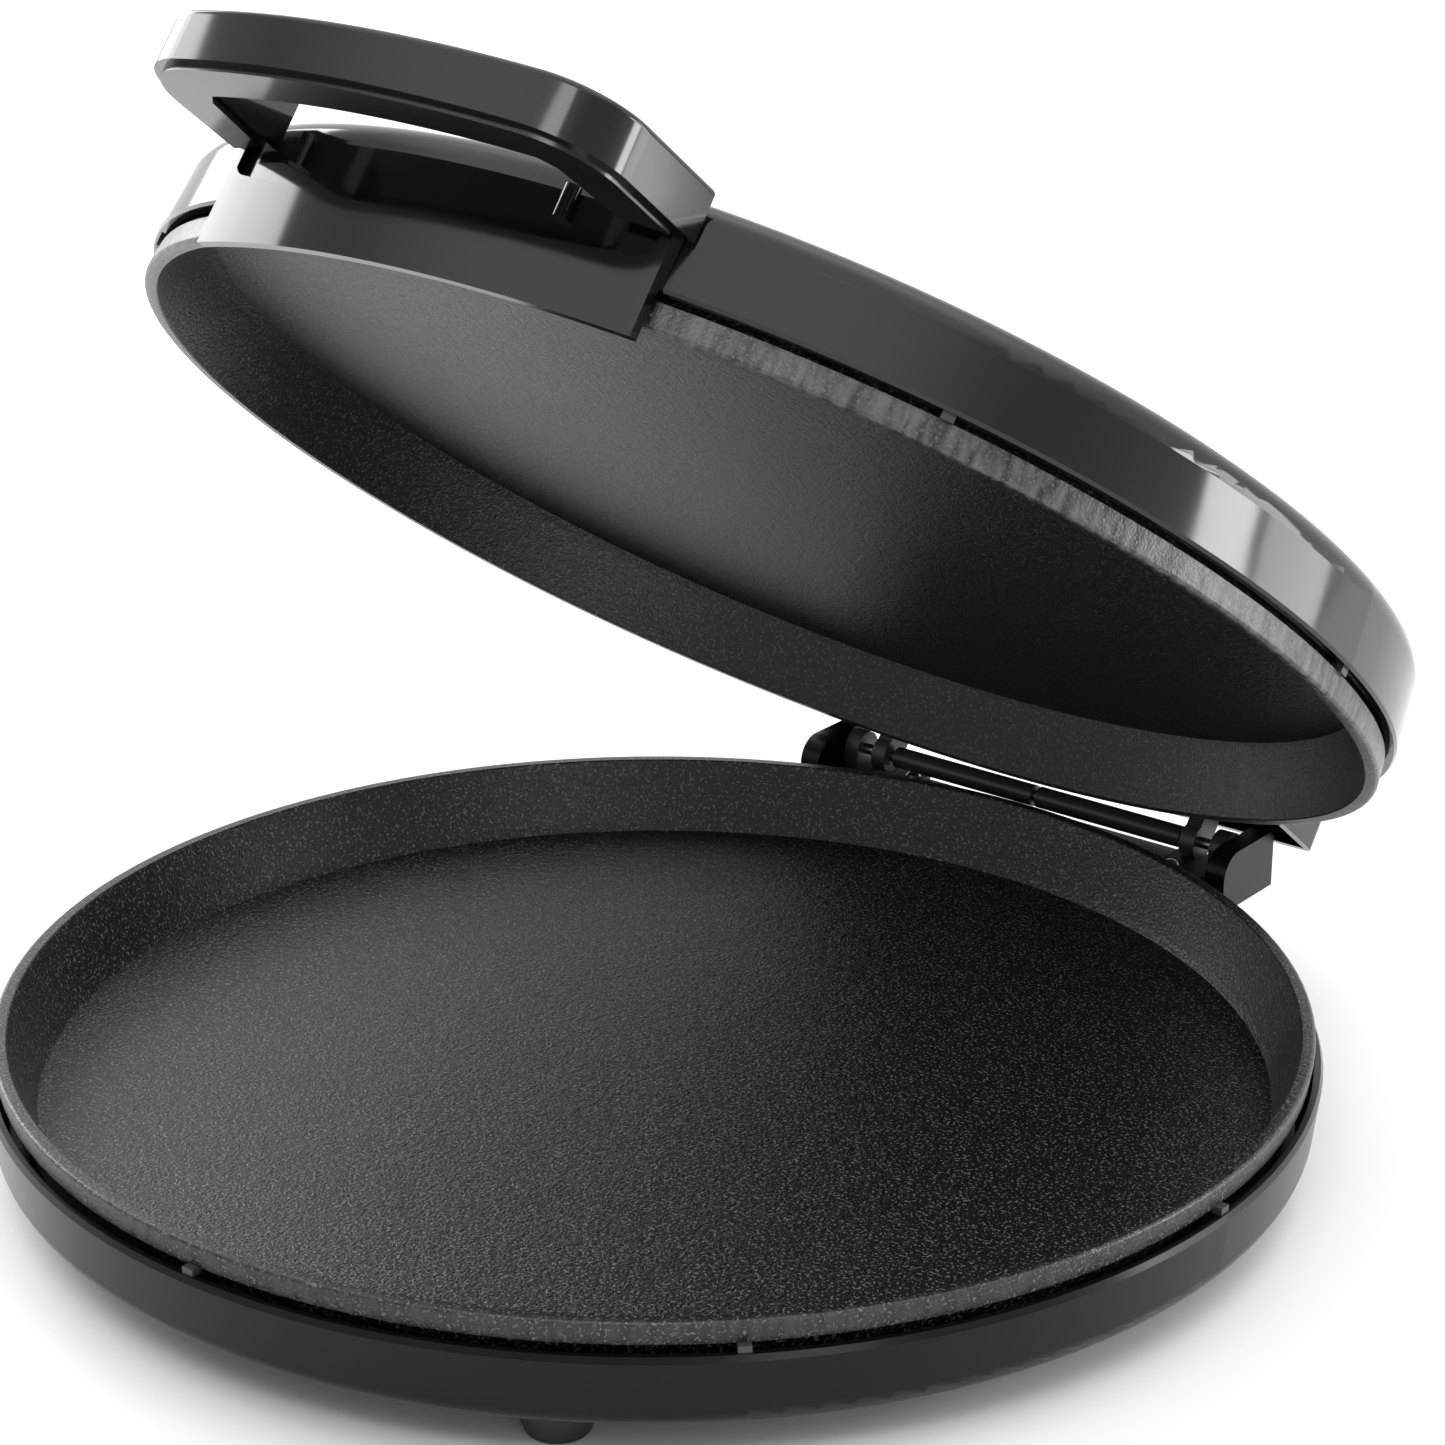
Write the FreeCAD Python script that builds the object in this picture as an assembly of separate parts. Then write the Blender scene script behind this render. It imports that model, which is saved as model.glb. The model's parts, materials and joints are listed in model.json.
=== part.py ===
import FreeCAD, Part
import math
import os

# Round electric griddle (pizza maker): a shallow base pan in a black housing, a matching pan in a
# domed lid, and a rear hinge. Base heights are measured from the base rim plane and lid heights from
# the lid rim plane. The lid is drawn closed, then turned up about the hinge to its resting angle.

# Pans
PAN_RIM_RADIUS = 160.0
RIM_WIDTH = 3.4
PAN_WALL_SPREAD = 6.2
PAN_DEPTH = 19.1
PAN_FLOOR_THICKNESS = 2.2
PAN_WALL_THICKNESS = 2.4
RIM_EDGE_RADIUS = 0.9
FLANGE_DRAFT = 0.6
LOWER_FLANGE_HEIGHT = 5.4
UPPER_FLANGE_HEIGHT = 6.4
FLANGE_GAP = 1.7
PAN_CORNER_RADIUS = 2.5

# Base housing
LIP_CLEARANCE = 0.8
HOUSING_WALL = 2.0
BAND_HEIGHT = 18.1
BAND_DRAFT = 1.4
BAND_BOTTOM_RADIUS = 4.5
BELLY_INSET = 36.0
BELLY_DEPTH = 7.3
BELLY_SLOPE = 7.0
GROUND_CLEARANCE = 3.7

# Feet
FOOT_ANGLES = (-120.0, -60.0, 60.0, 120.0)
FOOT_INSET = 17.5
FOOT_TOP_RADIUS = 11.0
FOOT_BOTTOM_RADIUS = 7.5
FOOT_SCREW_RADIUS = 1.5

# Lid shell
SHELL_WALL = 2.2
SHELL_SIDE_DRAFT = 1.3
SHELL_LIP_CLEARANCE = 0.6
SHELL_SHOULDER_HEIGHT = 24.0
SHOULDER_RADIUS = 7.0
CROWN_EDGE_SLOPE = 10.0

# Hinge
HINGE_SETBACK = 8.2
HINGE_DROP = 0.95
REST_ANGLE = 38.06
CLOSED_GAP = 0.5
PIN_RADIUS = 1.5
PIN_CLEARANCE = 0.05
SLEEVE_RADIUS = 3.0
SLEEVE_INNER_END = 0.7
SLEEVE_OUTER_END = 47.5
KNUCKLE_RADIUS = 5.0
KNUCKLE_WIDTH = 4.5
ARM_INNER_X = 49.0
BRACKET_INNER_X = 58.2
BRACKET_FOOT_THICKNESS = 1.6
CHEEK_INNER_X = 64.0
CHEEK_THICKNESS = 6.0
CHEEK_FRONT = 16.2
CHEEK_BACK = 9.5
CHEEK_TOP = 4.85
CHEEK_CORNER = 7.0
TROUGH_DEPTH = 11.0
TROUGH_FLOOR = 2.5
COVER_HALF_WIDTH = 77.0
COVER_BACK = 18.0
COVER_TOP = 25.0
COVER_WALL = 2.4

# Handle
SKIRT_CLEARANCE = 2.6
SKIRT_THICKNESS = 2.4
SKIRT_BOTTOM = -4.0
SKIRT_TOP = 22.0
SCOOP_DEPTH = 2.0
SCOOP_MIDDLE_Z = 8.6
SCOOP_CORNER_X = 54.0
SCOOP_CORNER_Z = 12.4
SCOOP_SIDE_X = 60.4
HANDLE_HALF_WIDTH = 61.0
HANDLE_SEAT_GAP = 0.1
HANDLE_SCREW_Z = 10.9
HANDLE_SCREW_X = 58.2
HANDLE_SCREW_RADIUS = 1.1
HANDLE_SCREW_COVER = 0.5
LOOP_BOTTOM = 20.0
LOOP_HEIGHT = 12.4
LOOP_REACH = 41.5
LOOP_WIDTH = 14.2
LOOP_BOW_HALF = 47.0
LOOP_KNEE_RADIUS = 21.0
LOOP_ROOT_FLARE = 2.1
LOOP_TAIL_LENGTH = 24.0
LOOP_TAIL_SLOPE = 11.0
LOOP_EDGE_RADIUS = 1.6
OPENING_ROOT_HALF = 50.5
OPENING_TIP_HALF = 47.0
POST_X = 37.0
POST_RADIUS = 1.9
POST_STAND = 0.9
POST_LOW = 15.5
POST_HIGH = 23.0
INSERT_INSET = 2.0
INSERT_THICKNESS = 1.5

# Heating and electrical pieces
ELEMENT_RADIUS = 100.0
ELEMENT_TUBE_RADIUS = 3.0
ELEMENT_GAP_ANGLE = 30.0
ELEMENT_BEND_RADIUS = 8.0
ELEMENT_LEG_LENGTH = 14.0
ELEMENT_PIN_RADIUS = 1.2
ELEMENT_PIN_LENGTH = 6.0
SEAT_GAP = 0.05
REFLECTOR_RADIUS = 105.0
REFLECTOR_THICKNESS = 0.4
REFLECTOR_GAP = 0.4
FIXING_CIRCLE_RADIUS = 80.0
FIXING_BOSS_RADIUS = 5.0
FIXING_SCREW_RADIUS = 2.0
SCREW_CLEARANCE = 0.05
SPACER_COUNT = 8
SPACER_WIDTH = 3.0
TERMINAL_INSET = 45.0
GLAND_ANGLE = 126.0
GLAND_BORE_RADIUS = 2.9
GLAND_BODY_RADIUS = 4.2
WIRE_RADIUS = 0.7
LAMP_X = 9.0
LAMP_INSET = 36.0
LAMP_RADIUS = 4.0
LAMP_DROP = 1.1

# Derived places
PAN_MOUTH_RADIUS = PAN_RIM_RADIUS - RIM_WIDTH
PAN_FLOOR_RADIUS = PAN_MOUTH_RADIUS - PAN_WALL_SPREAD
BELLY_RADIUS = PAN_RIM_RADIUS - BELLY_INSET
FOOT_CIRCLE_RADIUS = PAN_RIM_RADIUS - FOOT_INSET
TERMINAL_CIRCLE_RADIUS = PAN_RIM_RADIUS - TERMINAL_INSET
LAMP_Y = -(PAN_RIM_RADIUS - LAMP_INSET)
FLOOR_BELOW = PAN_DEPTH + PAN_FLOOR_THICKNESS
LIP_DROP = LOWER_FLANGE_HEIGHT + FLANGE_GAP
LIP_INNER = PAN_RIM_RADIUS - FLANGE_DRAFT + LIP_CLEARANCE
LIP_OUTER = LIP_INNER + HOUSING_WALL
BAND_BOTTOM = LIP_DROP + BAND_HEIGHT
BELLY_BOTTOM = BAND_BOTTOM + BELLY_DEPTH
GROUND = BELLY_BOTTOM + GROUND_CLEARANCE
HINGE_Y = PAN_RIM_RADIUS + HINGE_SETBACK
HINGE_Z = -HINGE_DROP
TROUGH_TOP = HINGE_Z - (TROUGH_DEPTH - TROUGH_FLOOR)
SHELL_LIP = UPPER_FLANGE_HEIGHT + FLANGE_GAP
SHELL_INNER = PAN_RIM_RADIUS - FLANGE_DRAFT + SHELL_LIP_CLEARANCE - 0.7
SHELL_OUTER = SHELL_INNER + SHELL_WALL
SKIRT_INNER = PAN_RIM_RADIUS + SKIRT_CLEARANCE
SKIRT_OUTER = SKIRT_INNER + SKIRT_THICKNESS
HANDLE_ROOT_Y = -math.sqrt(SHELL_OUTER ** 2 - HANDLE_HALF_WIDTH ** 2)
LOOP_RADIUS = PAN_RIM_RADIUS + LOOP_REACH
POST_CIRCLE = SKIRT_OUTER - SCOOP_DEPTH + POST_STAND
POST_TURN = math.degrees(math.asin(POST_X / POST_CIRCLE))
HANDLE_SCREW_TURN = math.degrees(math.asin(HANDLE_SCREW_X / SKIRT_INNER))
HANDLE_SCREW_ANGLES = (-90.0 - HANDLE_SCREW_TURN, -90.0 + HANDLE_SCREW_TURN)

# Fixings and inner places that follow from the sizes above
SCREW_HEAD_RADIUS = 3.5
SCREW_HEAD_HEIGHT = 1.8
SCREW_HEAD_RECESS = 2.4
THERMOSTAT_X = 38.0
GLAND_Z = -(LIP_DROP + 8.9)
BRACKET_SCREW_X = 46.0
BRACKET_SCREW_YS = (HINGE_Y - 3.6, HINGE_Y + 5.6)
COVER_CORNER = 4.0
UPPER_BOSS_HEIGHT = 5.0
STUD_REACH = 5.0
ELEMENT_Z = -FLOOR_BELOW - SEAT_GAP - ELEMENT_TUBE_RADIUS
CLIP_THICKNESS = 0.8
REFLECTOR_TOP = ELEMENT_Z - ELEMENT_TUBE_RADIUS - SEAT_GAP - CLIP_THICKNESS - REFLECTOR_GAP
REFLECTOR_SHELF = REFLECTOR_TOP - REFLECTOR_THICKNESS
LOWER_BOSS_HEIGHT = 4.0
LOWER_BOSS_TOP = -FLOOR_BELOW - LOWER_BOSS_HEIGHT - 0.3
CLIP_ANGLES = (60.0, 150.0, 210.0, 300.0)

UP = FreeCAD.Vector(0, 0, 1)
ALONG_X = FreeCAD.Vector(1, 0, 0)
ALONG_Y = FreeCAD.Vector(0, 1, 0)
ORIGIN = FreeCAD.Vector(0, 0, 0)


def vec(x, y, z):
    return FreeCAD.Vector(x, y, z)


def box(x0, x1, y0, y1, z0, z1):
    return Part.makeBox(x1 - x0, y1 - y0, z1 - z0, vec(x0, y0, z0))


def rod(radius, length, start, direction):
    return Part.makeCylinder(radius, length, start, direction)


def polar(radius, angle, z):
    turn = math.radians(angle)
    return vec(radius * math.cos(turn), radius * math.sin(turn), z)


def turned(shape, angle):
    copy = shape.copy()
    copy.rotate(ORIGIN, UP, angle)
    return copy


def outline(steps):
    """Wire from plane points; a step of two points is an arc through the first to the second."""
    edges = []
    here = steps[0]
    for step in steps[1:] + [steps[0]]:
        if isinstance(step, tuple):
            edges.append(Part.Arc(here, step[0], step[1]).toShape())
            here = step[1]
        elif here.distanceToPoint(step) > 1e-6:
            edges.append(Part.LineSegment(here, step).toShape())
            here = step
    return Part.Wire(edges)


def revolved(points):
    """Solid of revolution about Z from (radius, z) points; a pair of points is an arc."""
    steps = []
    for point in points:
        if isinstance(point[0], tuple):
            steps.append((vec(point[0][0], 0, point[0][1]), vec(point[1][0], 0, point[1][1])))
        else:
            steps.append(vec(point[0], 0, point[1]))
    return Part.Face(outline(steps)).revolve(ORIGIN, UP, 360)


def prism_x(points, x0, x1):
    """Solid from a (y, z) outline, swept along X."""
    steps = [vec(x0, y, z) for y, z in points]
    return Part.Face(outline(steps)).extrude(vec(x1 - x0, 0, 0))


def joined(shapes):
    result = shapes[0]
    for shape in shapes[1:]:
        result = result.fuse(shape)
    return result.removeSplitter()


def group(shapes):
    return Part.makeCompound(shapes)


def arc_point(centre_r, centre_z, radius, angle):
    turn = math.radians(angle)
    return (centre_r + radius * math.cos(turn), centre_z + radius * math.sin(turn))


# ---------------------------------------------------------------- pans

def fixing_angles():
    return [45.0 + 90.0 * step for step in range(4)]


def pan(flange_height, boss_height):
    """Pan opening upward: rim flange, drafted wall, flat floor and fixing bosses under the floor."""
    slope = (PAN_MOUTH_RADIUS - PAN_FLOOR_RADIUS) / PAN_DEPTH
    wall_at_flange = PAN_MOUTH_RADIUS - slope * flange_height + PAN_WALL_THICKNESS
    wall_at_floor = PAN_FLOOR_RADIUS + slope * PAN_FLOOR_THICKNESS + PAN_WALL_THICKNESS
    edge = RIM_EDGE_RADIUS
    edge_mid = arc_point(PAN_RIM_RADIUS - edge, -edge, edge, 45)
    points = [
        (0, -FLOOR_BELOW),
        (wall_at_floor - PAN_CORNER_RADIUS, -FLOOR_BELOW),
        (wall_at_floor, -FLOOR_BELOW + PAN_CORNER_RADIUS),
        (wall_at_flange, -flange_height),
        (PAN_RIM_RADIUS - FLANGE_DRAFT, -flange_height),
        (PAN_RIM_RADIUS, -edge),
        (edge_mid, (PAN_RIM_RADIUS - edge, 0)),
        (PAN_MOUTH_RADIUS + 0.3, 0),
        (PAN_MOUTH_RADIUS, -0.3),
        (PAN_FLOOR_RADIUS, -PAN_DEPTH),
        (0, -PAN_DEPTH),
    ]
    body = revolved(points)
    hole_radius = FIXING_SCREW_RADIUS + SCREW_CLEARANCE
    for angle in fixing_angles():
        foot = polar(FIXING_CIRCLE_RADIUS, angle, -FLOOR_BELOW - boss_height)
        body = body.fuse(rod(FIXING_BOSS_RADIUS, boss_height + 0.5, foot, UP))
        body = body.cut(rod(hole_radius, boss_height, foot, UP))
    return body


def element(ring_z):
    """Tubular heating ring under a pan, its two cold ends turned in towards the middle."""
    half_gap = ELEMENT_GAP_ANGLE / 2
    ends = []
    for side in (1, -1):
        radial = polar(1, side * half_gap, 0)
        across = polar(1, side * (half_gap - 90), 0)
        bend_centre = radial * (ELEMENT_RADIUS - ELEMENT_BEND_RADIUS)
        start = radial * ELEMENT_RADIUS
        middle = bend_centre + (radial + across).normalize() * ELEMENT_BEND_RADIUS
        finish = bend_centre + across * ELEMENT_BEND_RADIUS
        tip = finish - radial * ELEMENT_LEG_LENGTH
        ends.append((start, middle, finish, tip, radial))
    first, last = ends
    path = Part.Wire([
        Part.LineSegment(first[3], first[2]).toShape(),
        Part.Arc(first[2], first[1], first[0]).toShape(),
        Part.Arc(first[0], vec(-ELEMENT_RADIUS, 0, 0), last[0]).toShape(),
        Part.Arc(last[0], last[1], last[2]).toShape(),
        Part.LineSegment(last[2], last[3]).toShape(),
    ])
    section = Part.Wire([Part.makeCircle(ELEMENT_TUBE_RADIUS, first[3], first[4])])
    pieces = [path.makePipeShell([section], True, True)]
    for end in ends:
        pin_start = end[3] + end[4] * 2
        pieces.append(rod(ELEMENT_PIN_RADIUS, ELEMENT_PIN_LENGTH + 2, pin_start, end[4] * -1))
    body = joined(pieces)
    body.translate(vec(0, 0, ring_z))
    return body


def element_clips(ring_z, angles):
    """Small saddle clips that hold the heating ring against the pan."""
    clips = []
    inner = ELEMENT_TUBE_RADIUS + SEAT_GAP
    outer = inner + CLIP_THICKNESS
    wing = 5.0
    top = ring_z + ELEMENT_TUBE_RADIUS
    for angle in angles:
        strap = box(ELEMENT_RADIUS - outer, ELEMENT_RADIUS + outer, -3, 3, ring_z - outer, top)
        ears = box(ELEMENT_RADIUS - outer - wing, ELEMENT_RADIUS + outer + wing, -3, 3, top - CLIP_THICKNESS, top)
        hollow = box(ELEMENT_RADIUS - inner, ELEMENT_RADIUS + inner, -4, 4, ring_z - inner, top + 1)
        clips.append(turned(strap.fuse(ears).cut(hollow), angle))
    return group(clips)


def reflector(top_z, hole_radius):
    """Thin bright plate behind the heating ring, with holes for the fixings and the leads."""
    plate = rod(REFLECTOR_RADIUS, REFLECTOR_THICKNESS, vec(0, 0, top_z - REFLECTOR_THICKNESS), UP)
    for angle in fixing_angles():
        foot = polar(FIXING_CIRCLE_RADIUS, angle, top_z - REFLECTOR_THICKNESS - 1)
        plate = plate.cut(rod(hole_radius, REFLECTOR_THICKNESS + 2, foot, UP))
    return plate


# ---------------------------------------------------------------- base housing

def housing_profile(outset, floor_lift):
    """Outer skin of the base housing, or its inner skin when it is moved in by a wall."""
    top = LIP_OUTER + outset
    low = top - BAND_DRAFT
    bottom = -BAND_BOTTOM + floor_lift
    corner = BAND_BOTTOM_RADIUS + outset
    corner_mid = arc_point(low - corner, bottom + corner, corner, -45)
    belly = -BELLY_BOTTOM + floor_lift
    return [
        (0, belly),
        (BELLY_RADIUS + outset, belly),
        (BELLY_RADIUS + outset + BELLY_SLOPE, bottom),
        (low - corner, bottom),
        (corner_mid, (low, bottom + corner)),
        (top, -LIP_DROP - 1.5),
        (top - 0.6, -LIP_DROP),
        (0, -LIP_DROP),
    ]


def base_shell():
    skin = revolved(housing_profile(0, 0))
    room = revolved(housing_profile(-HOUSING_WALL, HOUSING_WALL))
    lip_room = rod(LIP_INNER, 1.5, vec(0, 0, -LIP_DROP - 0.75), UP)
    room = room.fuse(lip_room)

    cheek_outer = CHEEK_INNER_X + CHEEK_THICKNESS
    floor_low = TROUGH_TOP - TROUGH_FLOOR
    back = HINGE_Y + CHEEK_BACK
    pieces = [skin, box(-cheek_outer, cheek_outer, PAN_RIM_RADIUS - 20, back, floor_low, TROUGH_TOP)]
    for side in (-1, 1):
        cheek = cheek_plate(side, floor_low)
        pieces.append(cheek)
    body = pieces[0]
    for piece in pieces[1:]:
        body = body.fuse(piece)
    body = body.cut(room)

    boss_low = -BELLY_BOTTOM + HOUSING_WALL - 0.5
    for angle in fixing_angles():
        foot = polar(FIXING_CIRCLE_RADIUS, angle, boss_low)
        body = body.fuse(rod(FIXING_BOSS_RADIUS + 1.5, REFLECTOR_SHELF - boss_low, foot, UP))
        body = body.fuse(rod(FIXING_BOSS_RADIUS - 0.5, LOWER_BOSS_TOP - boss_low, foot, UP))
        through = polar(FIXING_CIRCLE_RADIUS, angle, -BELLY_BOTTOM - 1)
        body = body.cut(rod(FIXING_SCREW_RADIUS + 0.2, 30, through, UP))
        body = body.cut(rod(SCREW_HEAD_RADIUS + 0.4, 1 + SCREW_HEAD_RECESS, through, UP))

    for angle in FOOT_ANGLES:
        hole = polar(FOOT_CIRCLE_RADIUS, angle, -BAND_BOTTOM - 1)
        body = body.cut(rod(FOOT_SCREW_RADIUS + SCREW_CLEARANCE, HOUSING_WALL + 2, hole, UP))

    gland_hole = rod(GLAND_BODY_RADIUS + 0.1, 20, polar(LIP_INNER - 8, GLAND_ANGLE, GLAND_Z),
                     polar(1, GLAND_ANGLE, 0))
    body = body.cut(gland_hole)

    for side in (-1, 1):
        for y in BRACKET_SCREW_YS:
            spot = vec(side * BRACKET_SCREW_X, y, floor_low - 1)
            body = body.cut(rod(1.25 + SCREW_CLEARANCE, TROUGH_FLOOR + 2, spot, UP))
    return body.removeSplitter()


def cheek_plate(side, floor_low):
    """Upright end plate of the hinge trough with a rounded front shoulder."""
    front = HINGE_Y - CHEEK_FRONT
    back = HINGE_Y + CHEEK_BACK
    top = HINGE_Z + CHEEK_TOP
    x0 = min(side * CHEEK_INNER_X, side * (CHEEK_INNER_X + CHEEK_THICKNESS))
    corner = CHEEK_CORNER
    small = 1.8
    mid_front = arc_point(front + corner, top - corner, corner, 135)
    steps = [
        vec(x0, front, floor_low),
        vec(x0, front, top - corner),
        (vec(x0, mid_front[0], mid_front[1]), vec(x0, front + corner, top)),
        vec(x0, back - small, top),
        vec(x0, back, top - small),
        vec(x0, back, floor_low + small),
        vec(x0, back - small, floor_low),
    ]
    return Part.Face(outline(steps)).extrude(vec(CHEEK_THICKNESS, 0, 0))


def lower_screws():
    """Four pan screws driven up from recesses in the belly of the housing."""
    screws = []
    seat = -BELLY_BOTTOM + SCREW_HEAD_RECESS
    for angle in fixing_angles():
        head_spot = polar(FIXING_CIRCLE_RADIUS, angle, seat - SCREW_HEAD_HEIGHT)
        head = rod(SCREW_HEAD_RADIUS, SCREW_HEAD_HEIGHT, head_spot, UP)
        slot = box(-3, 3, -0.5, 0.5, -0.1, 0.9)
        slot.translate(head_spot)
        shank_top = -FLOOR_BELOW - 0.6
        shank = rod(FIXING_SCREW_RADIUS, shank_top - seat, polar(FIXING_CIRCLE_RADIUS, angle, seat), UP)
        screws.append(head.cut(slot).fuse(shank))
    return group(screws)


def foot(angle):
    """Tapered moulded foot under the outer ring of the housing, with a screw well."""
    top = -BAND_BOTTOM
    height = GROUND - BAND_BOTTOM
    edge = 1.5
    spot = polar(FOOT_CIRCLE_RADIUS, angle, 0)
    low_mid = arc_point(FOOT_BOTTOM_RADIUS - edge, -GROUND + edge, edge, -45)
    profile = [
        (0, -GROUND),
        (FOOT_BOTTOM_RADIUS - edge, -GROUND),
        (low_mid, (FOOT_BOTTOM_RADIUS, -GROUND + edge)),
        (FOOT_TOP_RADIUS, top - 1.0),
        (FOOT_TOP_RADIUS, top),
        (0, top),
    ]
    body = revolved(profile)
    body = body.cut(rod(3.4, height - 3.0, vec(0, 0, -GROUND), UP))
    body = body.cut(rod(FOOT_SCREW_RADIUS + SCREW_CLEARANCE, height + 1, vec(0, 0, -GROUND), UP))
    body.translate(spot)
    return body


def foot_screws():
    screws = []
    seat = -BAND_BOTTOM - 3.0
    for angle in FOOT_ANGLES:
        head = rod(2.8, 2.0, polar(FOOT_CIRCLE_RADIUS, angle, seat - 2.0), UP)
        shank = rod(FOOT_SCREW_RADIUS, 3.0 + HOUSING_WALL, polar(FOOT_CIRCLE_RADIUS, angle, seat), UP)
        screws.append(head.fuse(shank))
    return group(screws)


def spacers(low_z, high_z, lip_radius):
    """Small blocks on the housing lip that hold the pan flange off the plastic."""
    blocks = []
    for step in range(SPACER_COUNT):
        block = box(lip_radius - 1.8, lip_radius + 1.0, -SPACER_WIDTH / 2, SPACER_WIDTH / 2, low_z, high_z)
        blocks.append(turned(block, 360.0 / SPACER_COUNT * step))
    return group(blocks)


# ---------------------------------------------------------------- electrical pieces in the base

def thermostat():
    """Round snap-disc thermostat against the underside of the pan."""
    top = -FLOOR_BELOW - SEAT_GAP
    can = rod(8.0, 3.4, vec(THERMOSTAT_X, 0, top - 3.4), UP)
    rim = rod(8.8, 0.8, vec(THERMOSTAT_X, 0, top - 2.4), UP)
    body = can.fuse(rim)
    for side in (-1, 1):
        blade = box(THERMOSTAT_X - 2.4, THERMOSTAT_X + 2.4, side * 4 - 0.4, side * 4 + 0.4,
                    top - 5.4, top - 3.4)
        body = body.fuse(blade)
    return body.removeSplitter()


def thermostat_bracket():
    """Strap over the rim of the thermostat, screwed to two pads under the pan."""
    top = -FLOOR_BELOW - SEAT_GAP
    low = top - 3.4
    strap = box(THERMOSTAT_X - 15, THERMOSTAT_X + 15, -3.0, 3.0, low - 0.6, low - SEAT_GAP)
    legs = []
    for side in (-1, 1):
        x0 = THERMOSTAT_X + side * 12.0
        legs.append(box(x0 - 3, x0 + 3, -3.0, 3.0, low - 0.6, top))
    return joined([strap] + legs)


def thermal_fuse():
    """Cylindrical thermal fuse lying under the pan, with its two leads."""
    spot = vec(-42, 12, -FLOOR_BELOW - SEAT_GAP - 2.0)
    body = rod(2.0, 12.0, spot, ALONG_X)
    leads = [rod(0.5, 8.0, spot - ALONG_X * 7.5, ALONG_X), rod(0.5, 8.0, spot + ALONG_X * 11.5, ALONG_X)]
    return joined([body] + leads)


def fuse_clip():
    top = -FLOOR_BELOW - SEAT_GAP
    strap = box(-38, -34, 12 - 6.5, 12 + 6.5, top - 5.0, top)
    room = box(-39, -33, 12 - 2.1, 12 + 2.1, top - 4.1, top + 1)
    side_low = box(-39, -33, 12 - 7, 12 - 3.0, top - 6, top - 0.8)
    side_high = box(-39, -33, 12 + 3.0, 12 + 7, top - 6, top - 0.8)
    return strap.cut(room).cut(side_low).cut(side_high)


def terminal_block():
    """Three-way terminal block on the belly floor, just inside the cord gland."""
    low = -BELLY_BOTTOM + HOUSING_WALL
    block = box(-5, 5, -13, 13, low, low + 6.0)
    for step in (-1, 0, 1):
        block = block.cut(rod(1.6, 3.0, vec(0, step * 8.0, low + 3.5), UP))
        block = block.cut(rod(1.1, 12, vec(-6, step * 8.0, low + 2.0), ALONG_X))
    block = turned(block, GLAND_ANGLE)
    block.translate(polar(TERMINAL_CIRCLE_RADIUS, GLAND_ANGLE, 0))
    return block


def cord_gland():
    """Moulded bush where the mains lead enters through the side wall."""
    outward = polar(1, GLAND_ANGLE, 0)
    face = LIP_OUTER - 0.2
    start = polar(face - HOUSING_WALL - 2.6, GLAND_ANGLE, GLAND_Z)
    body = rod(GLAND_BODY_RADIUS, HOUSING_WALL + 3.0, start, outward)
    flange = rod(GLAND_BODY_RADIUS + 1.6, 2.2, polar(face + 0.3, GLAND_ANGLE, GLAND_Z), outward)
    nose = Part.makeCone(GLAND_BODY_RADIUS + 0.8, GLAND_BODY_RADIUS - 0.4, 6.0,
                         polar(face + 2.4, GLAND_ANGLE, GLAND_Z), outward)
    bore = rod(GLAND_BORE_RADIUS, 30, polar(face - 12, GLAND_ANGLE, GLAND_Z), outward)
    return joined([body, flange, nose]).cut(bore)


def base_wiring():
    """Insulated leads from the terminal block to the element ends, thermostat and fuse."""
    level = REFLECTOR_SHELF - SEAT_GAP - WIRE_RADIUS
    block_edge = TERMINAL_CIRCLE_RADIUS - 7.0
    runs = [
        (polar(block_edge, GLAND_ANGLE - 4, level), polar(30, 60, level)),
        (polar(block_edge, GLAND_ANGLE, level), polar(40, 100, level)),
        (polar(block_edge, GLAND_ANGLE + 4, level), polar(90, 170, level)),
    ]
    wires = []
    for start, end in runs:
        wires.append(rod(WIRE_RADIUS, (end - start).Length, start, end - start))
    return group(wires)


# ---------------------------------------------------------------- hinge

def hinge_pin():
    half = CHEEK_INNER_X - 0.3
    return rod(PIN_RADIUS, 2 * half, vec(-half, HINGE_Y, HINGE_Z), ALONG_X)


def hinge_sleeve(side):
    start = min(side * SLEEVE_INNER_END, side * SLEEVE_OUTER_END)
    length = SLEEVE_OUTER_END - SLEEVE_INNER_END
    tube = rod(SLEEVE_RADIUS, length, vec(start, HINGE_Y, HINGE_Z), ALONG_X)
    return tube.cut(rod(PIN_RADIUS + PIN_CLEARANCE, length, vec(start, HINGE_Y, HINGE_Z), ALONG_X))


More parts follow.
